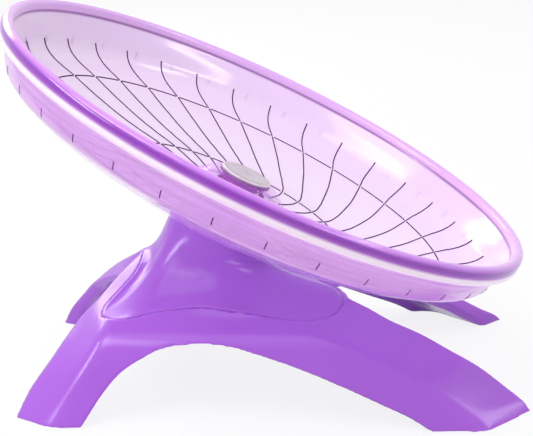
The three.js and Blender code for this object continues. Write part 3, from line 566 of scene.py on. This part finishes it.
def neck_column():
    outer, inner = bell_rows(0, 30), bell_rows(NECK_WALL, 30)
    last = outer[-1]
    rim = [
        [p - Vector((0, 0, RIM_ROUND)) for p in last],
        skirt_loop(SKIRT_LAP, -SKIRT_RIM),
        skirt_loop(-NECK_WALL, -SKIRT_RIM - 0.2),
    ]
    angles = [math.atan2(p.y, p.x - NECK_MIDDLE) for p in last]
    top_ring = [on_column(1e-3, angle, COLUMN_TOP) for angle in angles]
    under_ring = [on_column(1e-3, angle, COLUMN_TOP - NECK_WALL) for angle in angles]
    return skinned("neck_column_skin", [top_ring, *outer, *rim, *reversed(inner), under_ring])


# Materials

def material(name):
    made = bpy.data.materials.new(name)
    made.use_nodes = True
    nodes = made.node_tree.nodes
    return made, nodes, made.node_tree.links, nodes["Principled BSDF"]


def linear(*rgb):
    return tuple((v / 255 / 12.92) if v / 255 <= 0.04045 else ((v / 255 + 0.055) / 1.055) ** 2.4 for v in rgb)


def surface_noise(nodes, links, scale, detail=3):
    place = nodes.new("ShaderNodeTexCoord")
    noise = nodes.new("ShaderNodeTexNoise")
    noise.inputs["Scale"].default_value = scale
    noise.inputs["Detail"].default_value = detail
    links.new(place.outputs["Object"], noise.inputs["Vector"])
    return noise


def spread(nodes, links, source, low, high):
    """Maps a 0 to 1 value onto a narrow range."""
    span = nodes.new("ShaderNodeMapRange")
    span.inputs["To Min"].default_value = low
    span.inputs["To Max"].default_value = high
    links.new(source, span.inputs["Value"])
    return span.outputs["Result"]


def fine_bump(nodes, links, bsdf, noise, strength, distance):
    bump = nodes.new("ShaderNodeBump")
    bump.inputs["Strength"].default_value = strength
    bump.inputs["Distance"].default_value = distance
    links.new(noise.outputs["Fac"], bump.inputs["Height"])
    links.new(bump.outputs["Normal"], bsdf.inputs["Normal"])


def cover_on_entering(nodes, links, cover):
    """The cover where a ray enters the plastic, none where it leaves, and a share of it in a shadow."""
    sides = nodes.new("ShaderNodeNewGeometry")
    entering = nodes.new("ShaderNodeMath")
    entering.operation = "SUBTRACT"
    entering.inputs[0].default_value = 1
    links.new(sides.outputs["Backfacing"], entering.inputs[1])
    opacity = nodes.new("ShaderNodeMath")
    opacity.operation = "MULTIPLY"
    opacity.inputs[0].default_value = 1
    if isinstance(cover, float):
        opacity.inputs[0].default_value = cover
    else:
        links.new(cover, opacity.inputs[0])
    links.new(entering.outputs["Value"], opacity.inputs[1])
    paths = nodes.new("ShaderNodeLightPath")
    shaded = nodes.new("ShaderNodeMath")
    shaded.operation = "MULTIPLY"
    links.new(opacity.outputs["Value"], shaded.inputs[0])
    links.new(spread(nodes, links, paths.outputs["Is Shadow Ray"], 1, SHADOW_COVER), shaded.inputs[1])
    return shaded.outputs["Value"]


def see_through(made, nodes, links, bsdf, cover):
    through = nodes.new("ShaderNodeBsdfTransparent")
    mix = nodes.new("ShaderNodeMixShader")
    links.new(cover_on_entering(nodes, links, cover), mix.inputs["Fac"])
    links.new(through.outputs["BSDF"], mix.inputs[1])
    links.new(bsdf.outputs["BSDF"], mix.inputs[2])
    links.new(mix.outputs["Shader"], nodes["Material Output"].inputs["Surface"])
    made.use_backface_culling = True


def band_ramp(nodes, links, source, outline, bands, value):
    """Colours by the way round an outline. Each band starts at its (radius, height) point."""
    ways = way_round(outline)

    def way_at(point):
        i = min(range(len(outline)), key=lambda k: math.dist(outline[k], point))
        return ways[i]

    ramp = nodes.new("ShaderNodeValToRGB")
    stops = ramp.color_ramp.elements
    for k, (point, *values) in enumerate(bands):
        stop = stops[k] if k < 2 else stops.new(1)
        stop.position = way_at(point)
        stop.color = value(values)
    links.new(source, ramp.inputs["Fac"])
    return ramp.outputs["Color"]


def lap_and_way(nodes, links):
    """The lap attribute of a turned piece, and the way round its outline alone."""
    lap = nodes.new("ShaderNodeAttribute")
    lap.attribute_name = "lap"
    parts = nodes.new("ShaderNodeSeparateXYZ")
    links.new(lap.outputs["Vector"], parts.inputs["Vector"])
    return lap.outputs["Vector"], parts.outputs["Z"]


def colour_of(values):
    return (*linear(*values[0]), 1)


def smoky_plastic(outline):
    made, nodes, links, bsdf = material("clear_smoky_plastic_with_painted_light")
    way = lap_and_way(nodes, links)[1]
    tone = nodes.new("ShaderNodeMix")
    tone.data_type = "RGBA"
    tone.blend_type = "MULTIPLY"
    tone.inputs["Factor"].default_value = 1
    links.new(band_ramp(nodes, links, way, outline, CAP_TINT_AND_PAINTED_LIGHT, colour_of), tone.inputs["A"])
    mottle = surface_noise(nodes, links, 130)
    links.new(spread(nodes, links, mottle.outputs["Fac"], 0.75, 1.25), tone.inputs["B"])
    links.new(tone.outputs["Result"], bsdf.inputs["Base Color"])
    bsdf.inputs["Roughness"].default_value = 0.2
    see_through(made, nodes, links, bsdf, CAP_COVER)
    return made


def clear_saucer_plastic(outline):
    """Tinted clear plastic, paler inside than outside, with a painted highlight band and a painted shade line
    among its bands. Each wall counts once, on its near face.
    """
    made, nodes, links, bsdf = material("clear_purple_plastic_with_painted_light")
    lap, way = lap_and_way(nodes, links)
    tone = band_ramp(nodes, links, way, outline, SAUCER_TINT_AND_PAINTED_LIGHT, colour_of)
    cover_and_streaks = band_ramp(nodes, links, way, outline, SAUCER_TINT_AND_PAINTED_LIGHT, lambda v: (v[1], v[2], 0, 1))
    shares = nodes.new("ShaderNodeSeparateColor")
    links.new(cover_and_streaks, shares.inputs["Color"])
    stretch = nodes.new("ShaderNodeVectorMath")
    stretch.operation = "MULTIPLY"
    stretch.inputs[1].default_value = (2.2, 2.2, 260)
    links.new(lap, stretch.inputs[0])
    streaks = nodes.new("ShaderNodeTexNoise")
    streaks.inputs["Scale"].default_value = 1
    streaks.inputs["Detail"].default_value = 4
    links.new(stretch.outputs["Vector"], streaks.inputs["Vector"])
    streaked = nodes.new("ShaderNodeMix")
    streaked.data_type = "RGBA"
    streaked.blend_type = "MULTIPLY"
    links.new(shares.outputs["Green"], streaked.inputs["Factor"])
    links.new(tone, streaked.inputs["A"])
    links.new(spread(nodes, links, streaks.outputs["Fac"], 0.7, 1.3), streaked.inputs["B"])
    links.new(streaked.outputs["Result"], bsdf.inputs["Base Color"])
    bsdf.inputs["Roughness"].default_value = 0.14
    bsdf.inputs["IOR"].default_value = 1.5
    fine_bump(nodes, links, bsdf, surface_noise(nodes, links, 60), 0.05, 0.0003)
    see_through(made, nodes, links, bsdf, shares.outputs["Red"])
    return made


def violet_plastic():
    made, nodes, links, bsdf = material("violet_plastic")
    tone = nodes.new("ShaderNodeMix")
    tone.data_type = "RGBA"
    tone.inputs["A"].default_value = (*linear(166, 92, 214), 1)
    tone.inputs["B"].default_value = (*linear(178, 104, 226), 1)
    noise = surface_noise(nodes, links, 25)
    links.new(noise.outputs["Fac"], tone.inputs["Factor"])
    links.new(tone.outputs["Result"], bsdf.inputs["Base Color"])
    fine = surface_noise(nodes, links, 900)
    links.new(spread(nodes, links, fine.outputs["Fac"], 0.16, 0.24), bsdf.inputs["Roughness"])
    fine_bump(nodes, links, bsdf, fine, 0.04, 0.0001)
    bsdf.inputs["IOR"].default_value = 1.5
    bsdf.inputs["Specular IOR Level"].default_value = 0.3
    return made


def opaque_plastic(name, colour, roughness):
    made, nodes, links, bsdf = material(name)
    tone = nodes.new("ShaderNodeMix")
    tone.data_type = "RGBA"
    tone.inputs["A"].default_value = (*[c * 0.94 for c in colour], 1)
    tone.inputs["B"].default_value = (*colour, 1)
    noise = surface_noise(nodes, links, 200)
    links.new(noise.outputs["Fac"], tone.inputs["Factor"])
    links.new(tone.outputs["Result"], bsdf.inputs["Base Color"])
    uneven = spread(nodes, links, noise.outputs["Fac"], roughness * 0.8, roughness * 1.2)
    links.new(uneven, bsdf.inputs["Roughness"])
    return made


def steel(name, colour, roughness, scratch_scale):
    made, nodes, links, bsdf = material(name)
    bsdf.inputs["Base Color"].default_value = (*colour, 1)
    bsdf.inputs["Metallic"].default_value = 1
    noise = surface_noise(nodes, links, scratch_scale)
    uneven = spread(nodes, links, noise.outputs["Fac"], roughness * 0.7, roughness * 1.4)
    links.new(uneven, bsdf.inputs["Roughness"])
    fine_bump(nodes, links, bsdf, noise, 0.05, 0.00005)
    return made


def dress(piece, finish):
    piece.data.materials.clear()
    piece.data.materials.append(finish)


violet = violet_plastic()
magenta = opaque_plastic("magenta_plastic", linear(172, 30, 206), 0.3)
rib_ink = opaque_plastic("dark_purple_rib_plastic", linear(86, 14, 104), 0.7)
rib_ink.node_tree.nodes["Principled BSDF"].inputs["Specular IOR Level"].default_value = 0.1
polished_steel = steel("polished_bearing_steel", (0.78, 0.79, 0.81), 0.15, 900)
zinc_steel = steel("zinc_plated_steel", (0.72, 0.73, 0.75), 0.35, 600)


# Saucer

def saucer_outline():
    cone_and_bowl = [tuple(p) for p in flowing([*HUB_CONE, *BOWL_INSIDE, *LIP, *BOWL_OUTSIDE], CURVE_STEPS)]
    under = [tuple(p) for p in flowing([BOWL_OUTSIDE[-1], *HUB_UNDERSIDE], CURVE_STEPS)][1:]
    start = [(BORE, CAP_SEAT), (CAP_SEAT_RADIUS, CAP_SEAT), (CAP_SEAT_RADIUS, HUB_TOP)]
    return start + cone_and_bowl + under + SLEEVE + POCKET


def inside_height(radius):
    line = [*HUB_CONE, *BOWL_INSIDE]
    for (r0, h0), (r1, h1) in zip(line, line[1:]):
        if r0 <= radius <= r1:
            return h0 + (h1 - h0) * (radius - r0) / (r1 - r0)
    return line[-1][1]


def wall_radius(height):
    """Radius of the bowl's outer face at a height."""
    line = flowing(BOWL_OUTSIDE, CURVE_STEPS)
    for (r0, h0), (r1, h1) in zip(line, line[1:]):
        if h1 <= height <= h0:
            return r1 + (r0 - r1) * (height - h1) / (h0 - h1)
    return line[-1][0]


def rib_turn(radius):
    for (r0, a0), (r1, a1) in zip(RIB_TURN, RIB_TURN[1:]):
        if r0 <= radius <= r1:
            return a0 + (a1 - a0) * (radius - r0) / (r1 - r0)
    return RIB_TURN[-1][1]


def swirl_segment_lines():
    """Centre lines of one rib, of its foot on the wall and of one step of each ring, with small breaks
    where they cross."""
    lines = []
    inner, outer = RING_RADII
    stretches = ((RIB_START, inner - RIB_GAP), (inner + RIB_GAP, outer - RIB_GAP), (outer + RIB_GAP, RIB_END))
    for low, high in stretches:
        steps = max(4, int((high - low) / RIB_STEP))
        line = []
        for k in range(steps + 1):
            radius = low + (high - low) * k / steps
            angle = math.radians(rib_turn(radius))
            line.append((radius * math.cos(angle), radius * math.sin(angle), inside_height(radius)))
        lines.append(line)
    lines.append([(wall_radius(height) - FOOT_SUNK, lean, height) for height, lean in RIB_FOOT])
    pitch = 2 * math.pi / RIB_COUNT
    for radius in RING_RADII:
        first = math.radians(rib_turn(radius)) + RING_GAP / radius
        last = first + pitch - 2 * RING_GAP / radius
        steps = 12
        lines.append([
            (radius * math.cos(a), radius * math.sin(a), inside_height(radius))
            for a in (first + (last - first) * k / steps for k in range(steps + 1))
        ])
    return lines


def swirl_tree():
    """Sweeps the lines to raised ribs and repeats them round the saucer."""
    tree = bpy.data.node_groups.new("swirl_ribs", "GeometryNodeTree")
    face = tree.interface
    face.new_socket("Geometry", in_out="INPUT", socket_type="NodeSocketGeometry")
    count = face.new_socket("Rib Count", in_out="INPUT", socket_type="NodeSocketInt")
    width = face.new_socket("Rib Half Width", in_out="INPUT", socket_type="NodeSocketFloat")
    finish = face.new_socket("Rib Finish", in_out="INPUT", socket_type="NodeSocketMaterial")
    face.new_socket("Geometry", in_out="OUTPUT", socket_type="NodeSocketGeometry")
    add = tree.nodes.new
    link = tree.links.new
    given, result = add("NodeGroupInput"), add("NodeGroupOutput")
    to_curve = add("GeometryNodeMeshToCurve")
    profile = add("GeometryNodeCurvePrimitiveCircle")
    profile.inputs["Resolution"].default_value = 6
    sweep = add("GeometryNodeCurveToMesh")
    sweep.inputs["Fill Caps"].default_value = True
    around = add("GeometryNodeMeshLine")
    around.mode = "OFFSET"
    around.inputs["Offset"].default_value = (0, 0, 0)
    copies = add("GeometryNodeInstanceOnPoints")
    index = add("GeometryNodeInputIndex")
    pitch = add("ShaderNodeMath")
    pitch.operation = "DIVIDE"
    pitch.inputs[0].default_value = 2 * math.pi
    turn = add("ShaderNodeMath")
    turn.operation = "MULTIPLY"
    angles = add("ShaderNodeCombineXYZ")
    realize = add("GeometryNodeRealizeInstances")
    paint = add("GeometryNodeSetMaterial")
    smooth = add("GeometryNodeSetShadeSmooth")
    link(given.outputs["Geometry"], to_curve.inputs["Mesh"])
    link(given.outputs["Rib Half Width"], profile.inputs["Radius"])
    link(to_curve.outputs["Curve"], sweep.inputs["Curve"])
    link(profile.outputs["Curve"], sweep.inputs["Profile Curve"])
    link(given.outputs["Rib Count"], around.inputs["Count"])
    link(around.outputs["Mesh"], copies.inputs["Points"])
    link(sweep.outputs["Mesh"], copies.inputs["Instance"])
    link(given.outputs["Rib Count"], pitch.inputs[1])
    link(index.outputs["Index"], turn.inputs[0])
    link(pitch.outputs["Value"], turn.inputs[1])
    link(turn.outputs["Value"], angles.inputs["Z"])
    link(angles.outputs["Vector"], copies.inputs["Rotation"])
    link(copies.outputs["Instances"], realize.inputs["Geometry"])
    link(realize.outputs["Geometry"], smooth.inputs["Geometry"])
    link(smooth.outputs["Geometry"], paint.inputs["Geometry"])
    link(given.outputs["Rib Finish"], paint.inputs["Material"])
    link(paint.outputs["Geometry"], result.inputs["Geometry"])
    return tree, count.identifier, width.identifier, finish.identifier


def swirl_ribs():
    verts, edges = [], []
    for line in swirl_segment_lines():
        edges += [(len(verts) + k, len(verts) + k + 1) for k in range(len(line) - 1)]
        verts += line
    mesh = bpy.data.meshes.new("swirl_ribs")
    mesh.from_pydata(verts, edges, [])
    piece = bpy.data.objects.new("swirl_ribs", mesh)
    bpy.context.scene.collection.objects.link(piece)
    tree, count, width, finish = swirl_tree()
    repeat = piece.modifiers.new("swirl", "NODES")
    repeat.node_group = tree
    repeat[count] = RIB_COUNT
    repeat[width] = RIB_HALF_WIDTH
    repeat[finish] = rib_ink
    bake_modifiers(piece)
    turn = Matrix.Rotation(math.radians(FIRST_CROSSING), 4, "Z")
    piece.data.transform(on_saucer @ turn)
    return piece


saucer = turned("saucer_skin", saucer_outline(), 256)
dress(saucer, clear_saucer_plastic(saucer_outline()))
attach(saucer, "saucer")
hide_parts("saucer_dish")

ribs = swirl_ribs()
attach(ribs, "saucer")

hub_cap = turned("hub_cap_skin", CAP_OUTLINE, 96)
dress(hub_cap, smoky_plastic(CAP_OUTLINE))
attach(hub_cap, "saucer")
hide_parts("hub_cap")

disc = turned("retaining_disc_skin", DISC_OUTLINE, 96)
dress(disc, magenta)
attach(disc, "stand")
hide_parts("retaining_disc")

legs = soften(leg_frame(), *MOULD)
legs.name = "leg_frame_skin"
dress(legs, violet)
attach(legs, "stand")
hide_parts("leg_frame")

neck = neck_column()
dress(neck, violet)
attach(neck, "stand")
boss = turned("neck_boss", BOSS_OUTLINE, 96)
dress(boss, violet)
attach(boss, "stand")
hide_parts("neck_column")
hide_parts("neck_column")

for name, node in frame["nodes"].items():
    if name.startswith("bearing") or name == "spindle":
        dress(node, polished_steel)
    if "screw" in name:
        dress(node, zinc_steel)


# Floor, light and camera, in metres

FLOOR_ALBEDO = 0.9
FLOOR_WHITE = 0.85      # share of the floor's look that is plain white, the rest is lit and takes the shadow
WORLD_LIGHT = 0.56
LAMP_DISTANCE = 0.9
LAMP_AIM_HEIGHT = 0.04


def seen_rays(nodes, links):
    """1 for a ray from the camera, a reflection or through glass, and 0 for the rest."""
    paths = nodes.new("ShaderNodeLightPath")
    either = paths.outputs["Is Camera Ray"]
    for kind in ("Is Glossy Ray", "Is Transmission Ray"):
        larger = nodes.new("ShaderNodeMath")
        larger.operation = "MAXIMUM"
        links.new(either, larger.inputs[0])
        links.new(paths.outputs[kind], larger.inputs[1])
        either = larger.outputs["Value"]
    return either


def white_seen(name, albedo, seen):
    """Pale surface that the camera and reflections see as mostly plain white, with a soft shadow kept."""
    made, nodes, links, bsdf = material(name)
    bsdf.inputs["Base Color"].default_value = (albedo, albedo, albedo, 1)
    bsdf.inputs["Roughness"].default_value = 0.9
    glow = nodes.new("ShaderNodeEmission")
    part = nodes.new("ShaderNodeMath")
    part.operation = "MULTIPLY"
    part.inputs[1].default_value = seen
    links.new(seen_rays(nodes, links), part.inputs[0])
    mix = nodes.new("ShaderNodeMixShader")
    links.new(part.outputs["Value"], mix.inputs["Fac"])
    links.new(bsdf.outputs["BSDF"], mix.inputs[1])
    links.new(glow.outputs["Emission"], mix.inputs[2])
    links.new(mix.outputs["Shader"], nodes["Material Output"].inputs["Surface"])
    return made


def floor():
    size, under = 3, -1e-4
    corners = [(x * size, y * size, under) for x, y in ((-1, -1), (1, -1), (1, 1), (-1, 1))]
    piece = mesh_piece("floor", corners, [(0, 1, 2, 3)], None, False)
    dress(piece, white_seen("pale_floor", FLOOR_ALBEDO, FLOOR_WHITE))


def world():
    made = bpy.data.worlds.new("studio")
    bpy.context.scene.world = made
    made.use_nodes = True
    nodes, links = made.node_tree.nodes, made.node_tree.links
    back = nodes["Background"]
    back.inputs["Color"].default_value = (1, 1, 1, 1)
    links.new(spread(nodes, links, seen_rays(nodes, links), WORLD_LIGHT, 1), back.inputs["Strength"])


def softbox(name, azimuth, elevation, size, power, lean=0, only_gloss=False):
    """A soft lamp aimed at the object. Azimuth is in degrees from the front toward the right. With
    only_gloss it shows in reflections alone."""
    lamp = bpy.data.lights.new(name, "AREA")
    lamp.shape = "ELLIPSE"
    lamp.size, lamp.size_y = size
    lamp.energy = power
    piece = bpy.data.objects.new(name, lamp)
    a, e = math.radians(azimuth), math.radians(elevation)
    away = Vector((math.sin(a) * math.cos(e), -math.cos(a) * math.cos(e), math.sin(e)))
    piece.location = Vector((0, 0, LAMP_AIM_HEIGHT)) + away * LAMP_DISTANCE
    aim = away.to_track_quat("Z", "Y").to_matrix() @ Matrix.Rotation(math.radians(lean), 3, "Z")
    piece.rotation_euler = aim.to_euler()
    piece.visible_diffuse = not only_gloss
    bpy.context.scene.collection.objects.link(piece)


def camera():
    azimuth, elevation, roll, distance = math.radians(2.89), math.radians(15.86), math.radians(-1.62), 0.46693
    target = Vector((rim_centre.x - 0.00139, 0, 0.05067))
    back = Vector((
        math.sin(azimuth) * math.cos(elevation),
        -math.cos(azimuth) * math.cos(elevation),
        math.sin(elevation),
    ))
    lens = bpy.data.cameras.new("camera")
    lens.lens = 97.23
    lens.sensor_width = 36
    lens.clip_start, lens.clip_end = 0.01, 20
    piece = bpy.data.objects.new("camera", lens)
    turn = (-back).to_track_quat("-Z", "Y").to_matrix().to_4x4() @ Matrix.Rotation(roll, 4, "Z")
    piece.matrix_world = Matrix.Translation(target + back * distance) @ turn
    bpy.context.scene.collection.objects.link(piece)
    bpy.context.scene.camera = piece


floor()
world()
softbox("top_box", -40, 65, (0.7, 0.7), 5.2)
softbox("left_strip", -71, 32, (0.1, 0.7), 3.2, 51, True)
softbox("right_bank", 58, 22, (0.6, 0.15), 2.4, 0, True)
softbox("upper_left_box", -50, 57, (0.56, 0.14), 1.2, 0, True)
softbox("back_left_box", -148, 26, (0.5, 0.4), 2.4)
softbox("right_strip", 100, 38, (0.5, 0.06), 0.9, 0, True)
camera()
bpy.context.scene.view_settings.view_transform = "Standard"
